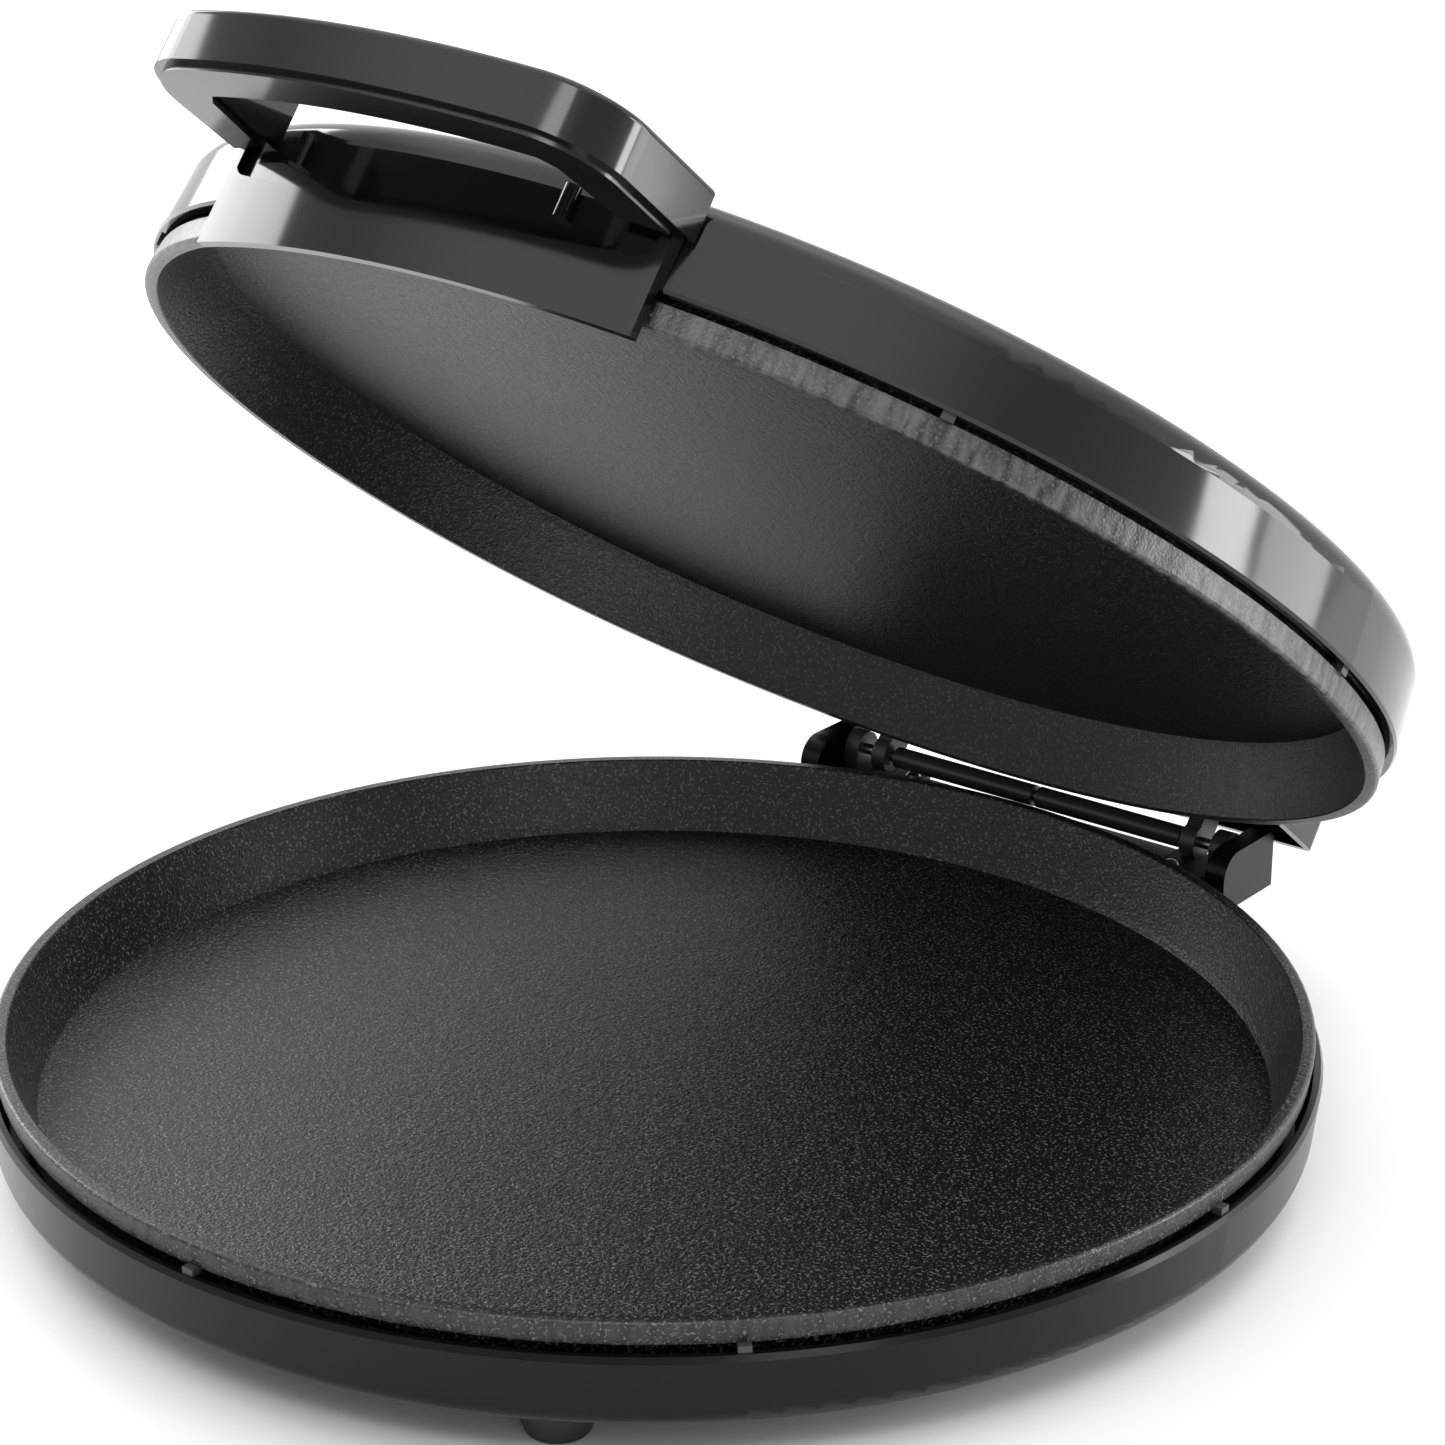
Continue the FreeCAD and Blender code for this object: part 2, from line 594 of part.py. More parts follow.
def hinge_bracket(side):
    """Steel ear that carries one end of the pin, on a foot screwed to the trough floor."""
    x0 = min(side * BRACKET_INNER_X, side * (BRACKET_INNER_X + KNUCKLE_WIDTH))
    ear = rod(KNUCKLE_RADIUS, KNUCKLE_WIDTH, vec(x0, HINGE_Y, HINGE_Z), ALONG_X)
    web = box(x0, x0 + KNUCKLE_WIDTH, HINGE_Y - KNUCKLE_RADIUS, HINGE_Y + KNUCKLE_RADIUS,
              TROUGH_TOP, HINGE_Z)
    foot_in = side * (BRACKET_SCREW_X - 4)
    foot_out = side * (BRACKET_INNER_X + KNUCKLE_WIDTH)
    plate = box(min(foot_in, foot_out), max(foot_in, foot_out), HINGE_Y - 6.5, HINGE_Y + 8.5,
                TROUGH_TOP, TROUGH_TOP + BRACKET_FOOT_THICKNESS)
    body = joined([ear, web, plate])
    body = body.cut(rod(PIN_RADIUS + PIN_CLEARANCE, KNUCKLE_WIDTH, vec(x0, HINGE_Y, HINGE_Z), ALONG_X))
    for y in BRACKET_SCREW_YS:
        body = body.cut(rod(1.25 + SCREW_CLEARANCE, 5, vec(side * BRACKET_SCREW_X, y, TROUGH_TOP - 1), UP))
    return body


def bracket_screws():
    screws = []
    top = TROUGH_TOP + BRACKET_FOOT_THICKNESS
    for side in (-1, 1):
        for y in BRACKET_SCREW_YS:
            spot = vec(side * BRACKET_SCREW_X, y, top)
            head = Part.makeSphere(2.4, spot + vec(0, 0, -1.1))
            head = head.common(box(spot.x - 3, spot.x + 3, y - 3, y + 3, top, top + 3))
            length = BRACKET_FOOT_THICKNESS + TROUGH_FLOOR - 0.3
            shank = rod(1.25, length, spot - UP * length, UP)
            screws.append(head.fuse(shank))
    return group(screws)


def hinge_arm(side):
    """Lid knuckle: an ear on the pin and a web up to a foot under the top of the rear cover."""
    centre_z = HINGE_Z - CLOSED_GAP
    x0 = min(side * ARM_INNER_X, side * (ARM_INNER_X + KNUCKLE_WIDTH))
    top = COVER_TOP - COVER_WALL
    ear = rod(KNUCKLE_RADIUS, KNUCKLE_WIDTH, vec(x0, HINGE_Y, centre_z), ALONG_X)
    web = box(x0, x0 + KNUCKLE_WIDTH, HINGE_Y - 4.0, HINGE_Y + 4.5, centre_z, top)
    pad = box(x0 - 6, x0 + KNUCKLE_WIDTH + 6, HINGE_Y - 4.0, HINGE_Y + 11, top - 2.0, top)
    body = joined([ear, web, pad])
    body = body.cut(rod(PIN_RADIUS + PIN_CLEARANCE, KNUCKLE_WIDTH, vec(x0, HINGE_Y, centre_z), ALONG_X))
    for x in arm_screw_xs(side):
        body = body.cut(rod(1.25 + SCREW_CLEARANCE, 4, vec(x, HINGE_Y + 7.5, top - 3), UP))
    return body


def arm_screw_xs(side):
    centre = side * (ARM_INNER_X + KNUCKLE_WIDTH / 2)
    return (centre - 5.0, centre + 5.0)


def arm_screws():
    screws = []
    under = COVER_TOP - COVER_WALL - 2.0
    for side in (-1, 1):
        for x in arm_screw_xs(side):
            head = rod(2.2, 1.4, vec(x, HINGE_Y + 7.5, under - 1.4), UP)
            shank = rod(1.25, 2.0 + COVER_WALL - 0.6, vec(x, HINGE_Y + 7.5, under), UP)
            screws.append(head.fuse(shank))
    return group(screws)


# ---------------------------------------------------------------- lid

def dome_profile(outset):
    """Outer skin of the lid: side band, rounded shoulder and shallow spherical crown."""
    bottom = SHELL_OUTER + outset
    side = bottom - SHELL_SIDE_DRAFT
    radius = SHOULDER_RADIUS + outset
    centre_r = side - radius
    start = 90.0 - CROWN_EDGE_SLOPE
    shoulder_mid = arc_point(centre_r, SHELL_SHOULDER_HEIGHT, radius, start / 2)
    shoulder_end = arc_point(centre_r, SHELL_SHOULDER_HEIGHT, radius, start)
    crown_radius = shoulder_end[0] / math.sin(math.radians(CROWN_EDGE_SLOPE))
    centre_z = shoulder_end[1] - crown_radius * math.cos(math.radians(CROWN_EDGE_SLOPE))
    crown_mid = arc_point(0, centre_z, crown_radius, 90.0 - CROWN_EDGE_SLOPE / 2)
    return [
        (0, SHELL_LIP),
        (bottom - 0.5, SHELL_LIP),
        (bottom, SHELL_LIP + 0.8),
        (side, SHELL_SHOULDER_HEIGHT),
        (shoulder_mid, shoulder_end),
        (crown_mid, (0, centre_z + crown_radius)),
    ]


def crown_height(radius):
    """Height of the outer crown above the rim plane at a distance from the lid axis."""
    start = 90.0 - CROWN_EDGE_SLOPE
    side = SHELL_OUTER - SHELL_SIDE_DRAFT
    end = arc_point(side - SHOULDER_RADIUS, SHELL_SHOULDER_HEIGHT, SHOULDER_RADIUS, start)
    crown_radius = end[0] / math.sin(math.radians(CROWN_EDGE_SLOPE))
    centre_z = end[1] - crown_radius * math.cos(math.radians(CROWN_EDGE_SLOPE))
    return centre_z + math.sqrt(crown_radius ** 2 - radius ** 2)


def lid_shell():
    """Crowned lid moulding, open below, with the hollow cover over the hinge at its back."""
    skin = revolved(dome_profile(0))
    room = revolved(dome_profile(-SHELL_WALL))

    back = HINGE_Y + COVER_BACK
    cover = box(-COVER_HALF_WIDTH, COVER_HALF_WIDTH, 100, back, SHELL_LIP, COVER_TOP)
    edges = []
    for edge in cover.Edges:
        centre = edge.CenterOfMass
        on_back = centre.y > back - 0.01 and centre.z > SHELL_LIP + 0.01
        on_side = abs(centre.x) > COVER_HALF_WIDTH - 0.01 and centre.z > COVER_TOP - 0.01
        if on_back or on_side:
            edges.append(edge)
    cover = cover.makeFillet(COVER_CORNER, edges)
    cover_room = box(-COVER_HALF_WIDTH + COVER_WALL, COVER_HALF_WIDTH - COVER_WALL, 90, back - COVER_WALL,
                     SHELL_LIP - 1, COVER_TOP - COVER_WALL)
    cover_room = cover_room.cut(skin)
    body = skin.fuse(cover).cut(cover_room)
    body = body.cut(room)

    lid_boss_low = FLOOR_BELOW + UPPER_BOSS_HEIGHT + 0.3
    dome = revolved(dome_profile(-0.8))
    for angle in fixing_angles():
        spot = polar(FIXING_CIRCLE_RADIUS, angle, lid_boss_low)
        boss = rod(FIXING_BOSS_RADIUS - 0.5, 40, spot, UP).common(dome)
        body = body.fuse(boss)
        body = body.cut(rod(FIXING_SCREW_RADIUS + SCREW_CLEARANCE, STUD_REACH, spot, UP))

    for side in (-1, 1):
        hole = vec(side * LAMP_X, LAMP_Y, 20)
        body = body.cut(rod(LAMP_RADIUS + 0.15, 40, hole, UP))
        for x in arm_screw_xs(side):
            spot = vec(x, HINGE_Y + 7.5, COVER_TOP - COVER_WALL - 0.1)
            body = body.cut(rod(1.25 + SCREW_CLEARANCE, COVER_WALL - 0.5, spot, UP))
    for angle in HANDLE_SCREW_ANGLES:
        start = polar(SHELL_INNER - 8, angle, HANDLE_SCREW_Z)
        body = body.cut(rod(HANDLE_SCREW_RADIUS + SCREW_CLEARANCE, 14, start, polar(1, angle, 0)))
    return body.removeSplitter()


def upper_studs():
    studs = []
    low = FLOOR_BELOW + 0.6
    high = FLOOR_BELOW + UPPER_BOSS_HEIGHT + 0.3 + STUD_REACH - 0.3
    for angle in fixing_angles():
        studs.append(rod(FIXING_SCREW_RADIUS, high - low, polar(FIXING_CIRCLE_RADIUS, angle, low), UP))
    return group(studs)


def lamp_lens(side):
    """Domed lens of an indicator lamp, standing just proud of the crown."""
    surface = crown_height(math.hypot(LAMP_X, LAMP_Y))
    inner_z = surface - SHELL_WALL - LAMP_DROP
    barrel = rod(LAMP_RADIUS, surface + 0.4 - inner_z, vec(side * LAMP_X, LAMP_Y, inner_z), UP)
    flange = rod(LAMP_RADIUS + 1.0, 0.8, vec(side * LAMP_X, LAMP_Y, inner_z - 0.8), UP)
    ball_radius = 9.0
    rise = ball_radius - math.sqrt(ball_radius ** 2 - LAMP_RADIUS ** 2)
    ball = Part.makeSphere(ball_radius, vec(side * LAMP_X, LAMP_Y, surface + 0.4 + rise - ball_radius))
    cap = ball.common(rod(LAMP_RADIUS, 3, vec(side * LAMP_X, LAMP_Y, surface + 0.4), UP))
    return joined([flange, barrel, cap])


def lamp_holder():
    surface = crown_height(math.hypot(LAMP_X, LAMP_Y))
    top = surface - SHELL_WALL - LAMP_DROP - 0.8
    plate = box(-LAMP_X - 7, LAMP_X + 7, LAMP_Y - 7, LAMP_Y + 7, top - 1.6, top)
    pieces = [plate]
    for side in (-1, 1):
        pieces.append(rod(2.4, 4.5, vec(side * LAMP_X, LAMP_Y, top - 1.6 - 4.5), UP))
    return joined(pieces)


def lid_wiring():
    level = FLOOR_BELOW + 2 * ELEMENT_TUBE_RADIUS + 3.0
    runs = [
        (vec(-6, LAMP_Y + 12, level), vec(-30, 60, level)),
        (vec(6, LAMP_Y + 12, level), vec(50, 20, level)),
        (vec(-30, 70, level), vec(-70, 30, level)),
    ]
    wires = []
    for start, end in runs:
        wires.append(rod(WIRE_RADIUS, (end - start).Length, start, end - start))
    return group(wires)


def flipped(shape):
    copy = shape.copy()
    copy.rotate(ORIGIN, ALONG_Y, 180)
    return copy


# ---------------------------------------------------------------- handle

def loop_outline(inset, past_root, z):
    """Plan outline of the handle loop: a bow about the lid axis, round knees and straight sides."""
    radius = LOOP_RADIUS - inset
    knee = LOOP_KNEE_RADIUS - inset
    turn = math.asin(LOOP_BOW_HALF / LOOP_RADIUS)
    centre = vec((radius - knee) * math.sin(turn), -(radius - knee) * math.cos(turn), z)
    bow_end = vec(radius * math.sin(turn), -radius * math.cos(turn), z)
    root = vec(HANDLE_HALF_WIDTH + LOOP_ROOT_FLARE - inset, HANDLE_ROOT_Y, z)
    to_root = root - centre
    lean = math.atan2(to_root.y, to_root.x) - math.acos(knee / to_root.Length)
    side_end = centre + vec(math.cos(lean), math.sin(lean), 0) * knee
    bow_angle = turn - math.pi / 2
    half_way = (bow_angle + lean) / 2
    knee_mid = centre + vec(math.cos(half_way), math.sin(half_way), 0) * knee
    end = root + (root - side_end).normalize() * past_root

    def mirror(point):
        return vec(-point.x, point.y, point.z)

    return [
        mirror(end),
        mirror(side_end),
        (mirror(knee_mid), mirror(bow_end)),
        (vec(0, -radius, z), bow_end),
        (knee_mid, side_end),
        end,
    ]


def opening_outline(grow, z):
    """Plan outline of the finger opening between the loop and the lid shell."""
    radius = LOOP_RADIUS - LOOP_WIDTH + grow
    tip = OPENING_TIP_HALF + grow
    tip_y = -math.sqrt(radius ** 2 - tip ** 2) + 3.0
    arc_x = tip - 3.0
    arc_y = -math.sqrt(radius ** 2 - arc_x ** 2)
    root_y = HANDLE_ROOT_Y + LOOP_TAIL_LENGTH + 10.0
    return [
        vec(-OPENING_ROOT_HALF - grow, root_y, z),
        vec(-OPENING_ROOT_HALF - grow, HANDLE_ROOT_Y, z),
        vec(-tip, tip_y, z),
        vec(-arc_x, arc_y, z),
        (vec(0, -radius, z), vec(arc_x, arc_y, z)),
        vec(tip, tip_y, z),
        vec(OPENING_ROOT_HALF + grow, HANDLE_ROOT_Y, z),
        vec(OPENING_ROOT_HALF + grow, root_y, z),
    ]


def scoop():
    """Space over the dished top edge of the skirt, below the loop."""
    corner_mid = vec(SCOOP_CORNER_X + 4.9, -220, SCOOP_CORNER_Z + 2.6)
    steps = [
        vec(-SCOOP_SIDE_X, -220, LOOP_BOTTOM),
        (vec(-corner_mid.x, -220, corner_mid.z), vec(-SCOOP_CORNER_X, -220, SCOOP_CORNER_Z)),
        (vec(0, -220, SCOOP_MIDDLE_Z), vec(SCOOP_CORNER_X, -220, SCOOP_CORNER_Z)),
        (corner_mid, vec(SCOOP_SIDE_X, -220, LOOP_BOTTOM)),
        vec(SCOOP_SIDE_X, -220, SKIRT_TOP + 2),
        vec(-SCOOP_SIDE_X, -220, SKIRT_TOP + 2),
    ]
    slab = Part.Face(outline(steps)).extrude(vec(0, 120, 0))
    return slab.cut(rod(SKIRT_OUTER - SCOOP_DEPTH, 80, vec(0, 0, SKIRT_BOTTOM - 1), UP))


def handle():
    """Front skirt outside the lid, and the loop that stands out from its top edge."""
    plan = Part.Face(outline(loop_outline(0, LOOP_TAIL_LENGTH, LOOP_BOTTOM)))
    loop = plan.extrude(vec(0, 0, LOOP_HEIGHT))
    soft = []
    for edge in loop.Edges:
        centre = edge.CenterOfMass
        if centre.z > LOOP_BOTTOM + LOOP_HEIGHT - 0.01 and centre.y < HANDLE_ROOT_Y:
            soft.append(edge)
    loop = loop.makeFillet(LOOP_EDGE_RADIUS, soft)
    opening = Part.Face(outline(opening_outline(0, LOOP_BOTTOM - 1))).extrude(vec(0, 0, LOOP_HEIGHT + 2))
    loop = loop.cut(opening)
    top = LOOP_BOTTOM + LOOP_HEIGHT
    tail_end = HANDLE_ROOT_Y + 2 * LOOP_TAIL_LENGTH
    drop = 2 * LOOP_TAIL_LENGTH * math.tan(math.radians(LOOP_TAIL_SLOPE))
    wedge = [(HANDLE_ROOT_Y, top), (tail_end, top - drop), (tail_end, top + 5), (HANDLE_ROOT_Y, top + 5)]
    loop = loop.cut(prism_x(wedge, -90, 90))

    half = HANDLE_HALF_WIDTH
    tube = rod(SKIRT_OUTER, 60, vec(0, 0, SKIRT_BOTTOM - 1), UP)
    core = rod(SKIRT_INNER, SHELL_LIP + 0.3 - SKIRT_BOTTOM + 1, vec(0, 0, SKIRT_BOTTOM - 1), UP)
    core = core.fuse(rod(SHELL_OUTER - 1, 60, vec(0, 0, SHELL_LIP), UP))
    skirt = tube.cut(core).common(box(-half, half, -200, HANDLE_ROOT_Y, SKIRT_BOTTOM, SKIRT_TOP))
    skirt = skirt.cut(scoop())
    pieces = [loop, skirt]
    for side in (-1, 1):
        x0 = min(side * half, side * (half - SKIRT_THICKNESS))
        web = box(x0, x0 + SKIRT_THICKNESS, -200, HANDLE_ROOT_Y + 8, SHELL_LIP, LOOP_BOTTOM + 1)
        pieces.append(web.common(tube))
        foot = polar(POST_CIRCLE, -90.0 + side * POST_TURN, POST_LOW)
        pieces.append(rod(POST_RADIUS, POST_HIGH - POST_LOW, foot, UP))
    body = joined(pieces)
    body = body.cut(revolved(dome_profile(HANDLE_SEAT_GAP)))
    body = body.cut(rod(SHELL_OUTER + HANDLE_SEAT_GAP, 80, vec(0, 0, SHELL_LIP - 1), UP))
    for angle in HANDLE_SCREW_ANGLES:
        start = polar(SHELL_OUTER - 6, angle, HANDLE_SCREW_Z)
        depth = SKIRT_OUTER - HANDLE_SCREW_COVER - SHELL_OUTER + 6
        body = body.cut(rod(HANDLE_SCREW_RADIUS + SCREW_CLEARANCE, depth, start, polar(1, angle, 0)))
    return body


def handle_insert():
    """Closing plate under the bow of the loop, set in from its outer edge."""
    low = LOOP_BOTTOM - INSERT_THICKNESS
    plate = Part.Face(outline(loop_outline(INSERT_INSET, 0.0, low))).extrude(vec(0, 0, INSERT_THICKNESS))
    opening = Part.Face(outline(opening_outline(1.0, low - 1))).extrude(vec(0, 0, INSERT_THICKNESS + 2))
    skirt_room = rod(SKIRT_OUTER + 1.5, 60, vec(0, 0, -5), UP)
    return plate.cut(opening).cut(skirt_room)


def handle_screws():
    """Screws from inside the lid shell out into the two ends of the skirt."""
    screws = []
    seat = SHELL_INNER - 0.5
    tip = SKIRT_OUTER - HANDLE_SCREW_COVER - 0.2
    for angle in HANDLE_SCREW_ANGLES:
        inward = polar(-1, angle, 0)
        head = rod(HANDLE_SCREW_RADIUS + 1.2, 1.6, polar(seat, angle, HANDLE_SCREW_Z), inward)
        shank = rod(HANDLE_SCREW_RADIUS, tip - seat, polar(tip, angle, HANDLE_SCREW_Z), inward)
        screws.append(head.fuse(shank))
    return group(screws)


base_nodes = {
    "base_shell": base_shell(),
    "lower_pan": pan(LOWER_FLANGE_HEIGHT, LOWER_BOSS_HEIGHT),
    "lower_spacers": spacers(-LIP_DROP, -LOWER_FLANGE_HEIGHT, LIP_INNER),
    "lower_element": element(ELEMENT_Z),
    "lower_element_clips": element_clips(ELEMENT_Z, CLIP_ANGLES),
    "lower_reflector": reflector(REFLECTOR_TOP, FIXING_BOSS_RADIUS - 0.2),
    "lower_pan_screws": lower_screws(),
    "thermostat": thermostat(),
    "thermostat_bracket": thermostat_bracket(),
    "thermal_fuse": thermal_fuse(),
    "fuse_clip": fuse_clip(),
    "terminal_block": terminal_block(),
    "base_wiring": base_wiring(),
    "cord_gland": cord_gland(),
    "foot_screws": foot_screws(),
    "hinge_pin": hinge_pin(),
    "hinge_sleeve_left": hinge_sleeve(-1),
    "hinge_sleeve_right": hinge_sleeve(1),
    "hinge_bracket_left": hinge_bracket(-1),
    "hinge_bracket_right": hinge_bracket(1),
    "bracket_screws": bracket_screws(),
}
for index, foot_angle in enumerate(FOOT_ANGLES):
    base_nodes["foot_%d" % (index + 1)] = foot(foot_angle)

lid_nodes = {
    "lid_shell": lid_shell(),
    "upper_pan": flipped(pan(UPPER_FLANGE_HEIGHT, UPPER_BOSS_HEIGHT)),
    "upper_spacers": flipped(spacers(-SHELL_LIP, -UPPER_FLANGE_HEIGHT, SHELL_INNER)),
    "upper_element": flipped(element(ELEMENT_Z)),
    "upper_element_clips": flipped(element_clips(ELEMENT_Z, CLIP_ANGLES)),
    "upper_reflector": flipped(reflector(REFLECTOR_TOP, FIXING_BOSS_RADIUS + 0.3)),
    "upper_pan_studs": upper_studs(),
    "lid_wiring": lid_wiring(),
    "lamp_lens_left": lamp_lens(-1),
    "lamp_lens_right": lamp_lens(1),
    "lamp_holder": lamp_holder(),
    "handle": handle(),
    "handle_insert": handle_insert(),
    "handle_screws": handle_screws(),
    "hinge_arm_left": hinge_arm(-1),
    "hinge_arm_right": hinge_arm(1),
    "arm_screws": arm_screws(),
}

for shape in lid_nodes.values():
    shape.translate(vec(0, 0, CLOSED_GAP))
    shape.rotate(vec(0, HINGE_Y, HINGE_Z), ALONG_X, -REST_ANGLE)

# The origin is the middle of the footprint box, on the ground
nodes = dict(base_nodes)
nodes.update(lid_nodes)
y_low = min(shape.optimalBoundingBox(False, False).YMin for shape in nodes.values())
y_high = max(shape.optimalBoundingBox(False, False).YMax for shape in nodes.values())
shift = vec(0, -(y_low + y_high) / 2, GROUND)

os.makedirs("parts", exist_ok=True)
for name, shape in nodes.items():
    shape.translate(shift)
    shape.exportStep("parts/%s.step" % name)
    print(name, "valid" if shape.isValid() else "INVALID", len(shape.Solids), round(shape.Volume, 1))

hinge = vec(0, HINGE_Y, HINGE_Z) + shift
print("hinge axis at", round(hinge.y, 3), round(hinge.z, 3))
print("base centre at", round(shift.y, 3), "rim height", round(shift.z, 3))
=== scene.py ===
"""Looks of the round electric griddle: finishes, floor, light and camera."""

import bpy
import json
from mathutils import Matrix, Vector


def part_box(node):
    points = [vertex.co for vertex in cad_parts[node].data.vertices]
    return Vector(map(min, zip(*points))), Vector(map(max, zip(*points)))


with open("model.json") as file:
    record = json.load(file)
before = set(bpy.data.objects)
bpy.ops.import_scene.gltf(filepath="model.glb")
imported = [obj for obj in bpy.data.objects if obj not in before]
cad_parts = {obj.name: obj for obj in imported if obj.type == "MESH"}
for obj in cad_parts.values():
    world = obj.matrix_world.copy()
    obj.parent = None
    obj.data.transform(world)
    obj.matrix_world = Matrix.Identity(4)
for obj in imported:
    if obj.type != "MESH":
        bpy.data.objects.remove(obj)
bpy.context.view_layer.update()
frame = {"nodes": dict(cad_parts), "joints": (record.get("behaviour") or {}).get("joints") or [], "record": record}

import bpy
import json
import math
from mathutils import Matrix, Vector

NODES = frame["nodes"]
RECORD = frame["record"]
HINGE = Vector(frame["joints"][0]["pos_m"])
REST = math.radians(38.06)

# Base frame: the middle of the base pan's rim plane.
PAN_LOW, PAN_HIGH = (Vector(c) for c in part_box("lower_pan"))
BASE_CENTRE = Vector(((PAN_LOW.x + PAN_HIGH.x) / 2, (PAN_LOW.y + PAN_HIGH.y) / 2, PAN_HIGH.z))
CLOSED_GAP = 0.0005

# Bands of the pan coating, as distances from the pan axis, in metres.
FLOOR_END = 0.1500
WALL_START = 0.1512
FLANGE_START = 0.1580
FLANGE_FULL = 0.1584


def lid_frame():
    """Matrix from the lid's own frame (its rim plane, when shut) to the open rest place."""
    shut = Matrix.Translation(BASE_CENTRE + Vector((0, 0, CLOSED_GAP)))
    about = Matrix.Translation(HINGE) @ Matrix.Rotation(-REST, 4, "X") @ Matrix.Translation(-HINGE)
    return about @ shut


LID = lid_frame()
BASE = Matrix.Translation(BASE_CENTRE)


# ---------------------------------------------------------------- materials
class Paint:
    """A node tree for one procedural finish."""

    def __init__(self, name, colour, rough, metal=0.0, place=None):
        self.mat = bpy.data.materials.new(name)
        self.mat.use_nodes = True
        self.tree = self.mat.node_tree
        self.bsdf = self.tree.nodes["Principled BSDF"]
        self.bsdf.inputs["Metallic"].default_value = metal
        self.bsdf.inputs["Base Color"].default_value = (*colour, 1)
        self.bsdf.inputs["Roughness"].default_value = rough
        self.colour = None
        self.rough = None
        self.height = None
        self.base_colour = colour
        self.base_rough = rough
        self.coords = self.tree.nodes.new("ShaderNodeTexCoord").outputs["Object"]
        if place is not None:
            mapping = self.node("ShaderNodeMapping")
            inverse = place.inverted()
            mapping.inputs["Location"].default_value = inverse.to_translation()
            mapping.inputs["Rotation"].default_value = inverse.to_euler()
            self.link(self.coords, mapping.inputs["Vector"])
            self.coords = mapping.outputs["Vector"]

    def node(self, kind):
        return self.tree.nodes.new(kind)

    def link(self, a, b):
        self.tree.links.new(a, b)

    def math(self, operation, a, b=None):
        item = self.node("ShaderNodeMath")
        item.operation = operation
        for socket, value in zip(item.inputs, (a, b)):
            if value is None:
                continue
            if isinstance(value, (int, float)):
                socket.default_value = value
            else:
                self.link(value, socket)
        return item.outputs[0]

    def noise(self, per_metre, detail=4.0, stretch=None):
        item = self.node("ShaderNodeTexNoise")
        item.inputs["Scale"].default_value = per_metre
        item.inputs["Detail"].default_value = detail
        source = self.coords
        if stretch is not None:
            scaled = self.node("ShaderNodeVectorMath")
            scaled.operation = "MULTIPLY"
            scaled.inputs[1].default_value = stretch
            self.link(source, scaled.inputs[0])
            source = scaled.outputs[0]
        self.link(source, item.inputs["Vector"])
        return item.outputs["Fac"]

    def ramp(self, value, low, high, out_low=0.0, out_high=1.0):
        item = self.node("ShaderNodeMapRange")
        item.inputs["From Min"].default_value = low
        item.inputs["From Max"].default_value = high
        item.inputs["To Min"].default_value = out_low
        item.inputs["To Max"].default_value = out_high
        self.link(value, item.inputs["Value"])
        return item.outputs["Result"]

    def radius(self):
        """Distance from the pan axis, in metres."""
        parts = self.node("ShaderNodeSeparateXYZ")
        self.link(self.coords, parts.inputs[0])
        square = self.math("ADD", self.math("MULTIPLY", parts.outputs[0], parts.outputs[0]),
                           self.math("MULTIPLY", parts.outputs[1], parts.outputs[1]))
        return self.math("SQRT", square)

    def tint(self, mask, colour):
        """Mixes another colour in where the mask is 1."""
        mix = self.node("ShaderNodeMix")
        mix.data_type = "RGBA"
        self.link(mask, mix.inputs["Factor"])
        if self.colour is None:
            mix.inputs[6].default_value = (*self.base_colour, 1)
        else:
            self.link(self.colour, mix.inputs[6])
        mix.inputs[7].default_value = (*colour, 1)
        self.colour = mix.outputs[2]

    def vary_rough(self, value, low, high):
        """Adds low to high to the roughness as value goes from 0 to 1."""
        change = self.ramp(value, 0.0, 1.0, low, high)
        if self.rough is None:
            self.rough = self.math("ADD", change, self.base_rough)
        else:
            self.rough = self.math("ADD", self.rough, change)

    def raise_by(self, value, metres):
        part = self.math("MULTIPLY", value, metres)
        self.height = part if self.height is None else self.math("ADD", self.height, part)

    def done(self, **sockets):
        if self.colour is not None:
            self.link(self.colour, self.bsdf.inputs["Base Color"])
        if self.rough is not None:
            self.link(self.rough, self.bsdf.inputs["Roughness"])
        if self.height is not None:
            bump = self.node("ShaderNodeBump")
            bump.inputs["Strength"].default_value = 1.0
            bump.inputs["Distance"].default_value = 1.0
            self.link(self.height, bump.inputs["Height"])
            self.link(bump.outputs["Normal"], self.bsdf.inputs["Normal"])
        for name, value in sockets.items():
            self.bsdf.inputs[name.replace("_", " ")].default_value = value
        return self.mat


def moulding(name, colour, rough, grain=900.0, depth=4e-6, wear=0.03, **sockets):
    """Moulded plastic: faint flow marks, fine grain and rubbed patches."""
    paint = Paint(name, colour, rough)
    cloud = paint.noise(22.0, 3.0)
    fine = paint.noise(grain, 5.0)
    paint.vary_rough(paint.ramp(cloud, 0.35, 0.65), -wear, wear)
    paint.tint(paint.ramp(cloud, 0.3, 0.8, 0.0, 0.35), tuple(c * 1.5 + 0.002 for c in colour))
    paint.raise_by(fine, depth)
    return paint.done(**sockets)


def metal(name, colour, rough, stretch=(1, 12, 12), grain=700.0, depth=3e-6, **sockets):
    """Drawn or ground metal: streaks along one direction."""
    paint = Paint(name, colour, rough, metal=1.0)
    streak = paint.noise(grain, 3.0, stretch)
    cloud = paint.noise(60.0, 3.0)
    paint.vary_rough(streak, -0.08, 0.1)
    paint.tint(paint.ramp(cloud, 0.35, 0.75, 0.0, 0.5), tuple(c * 0.7 for c in colour))
    paint.raise_by(streak, depth)
    return paint.done(**sockets)


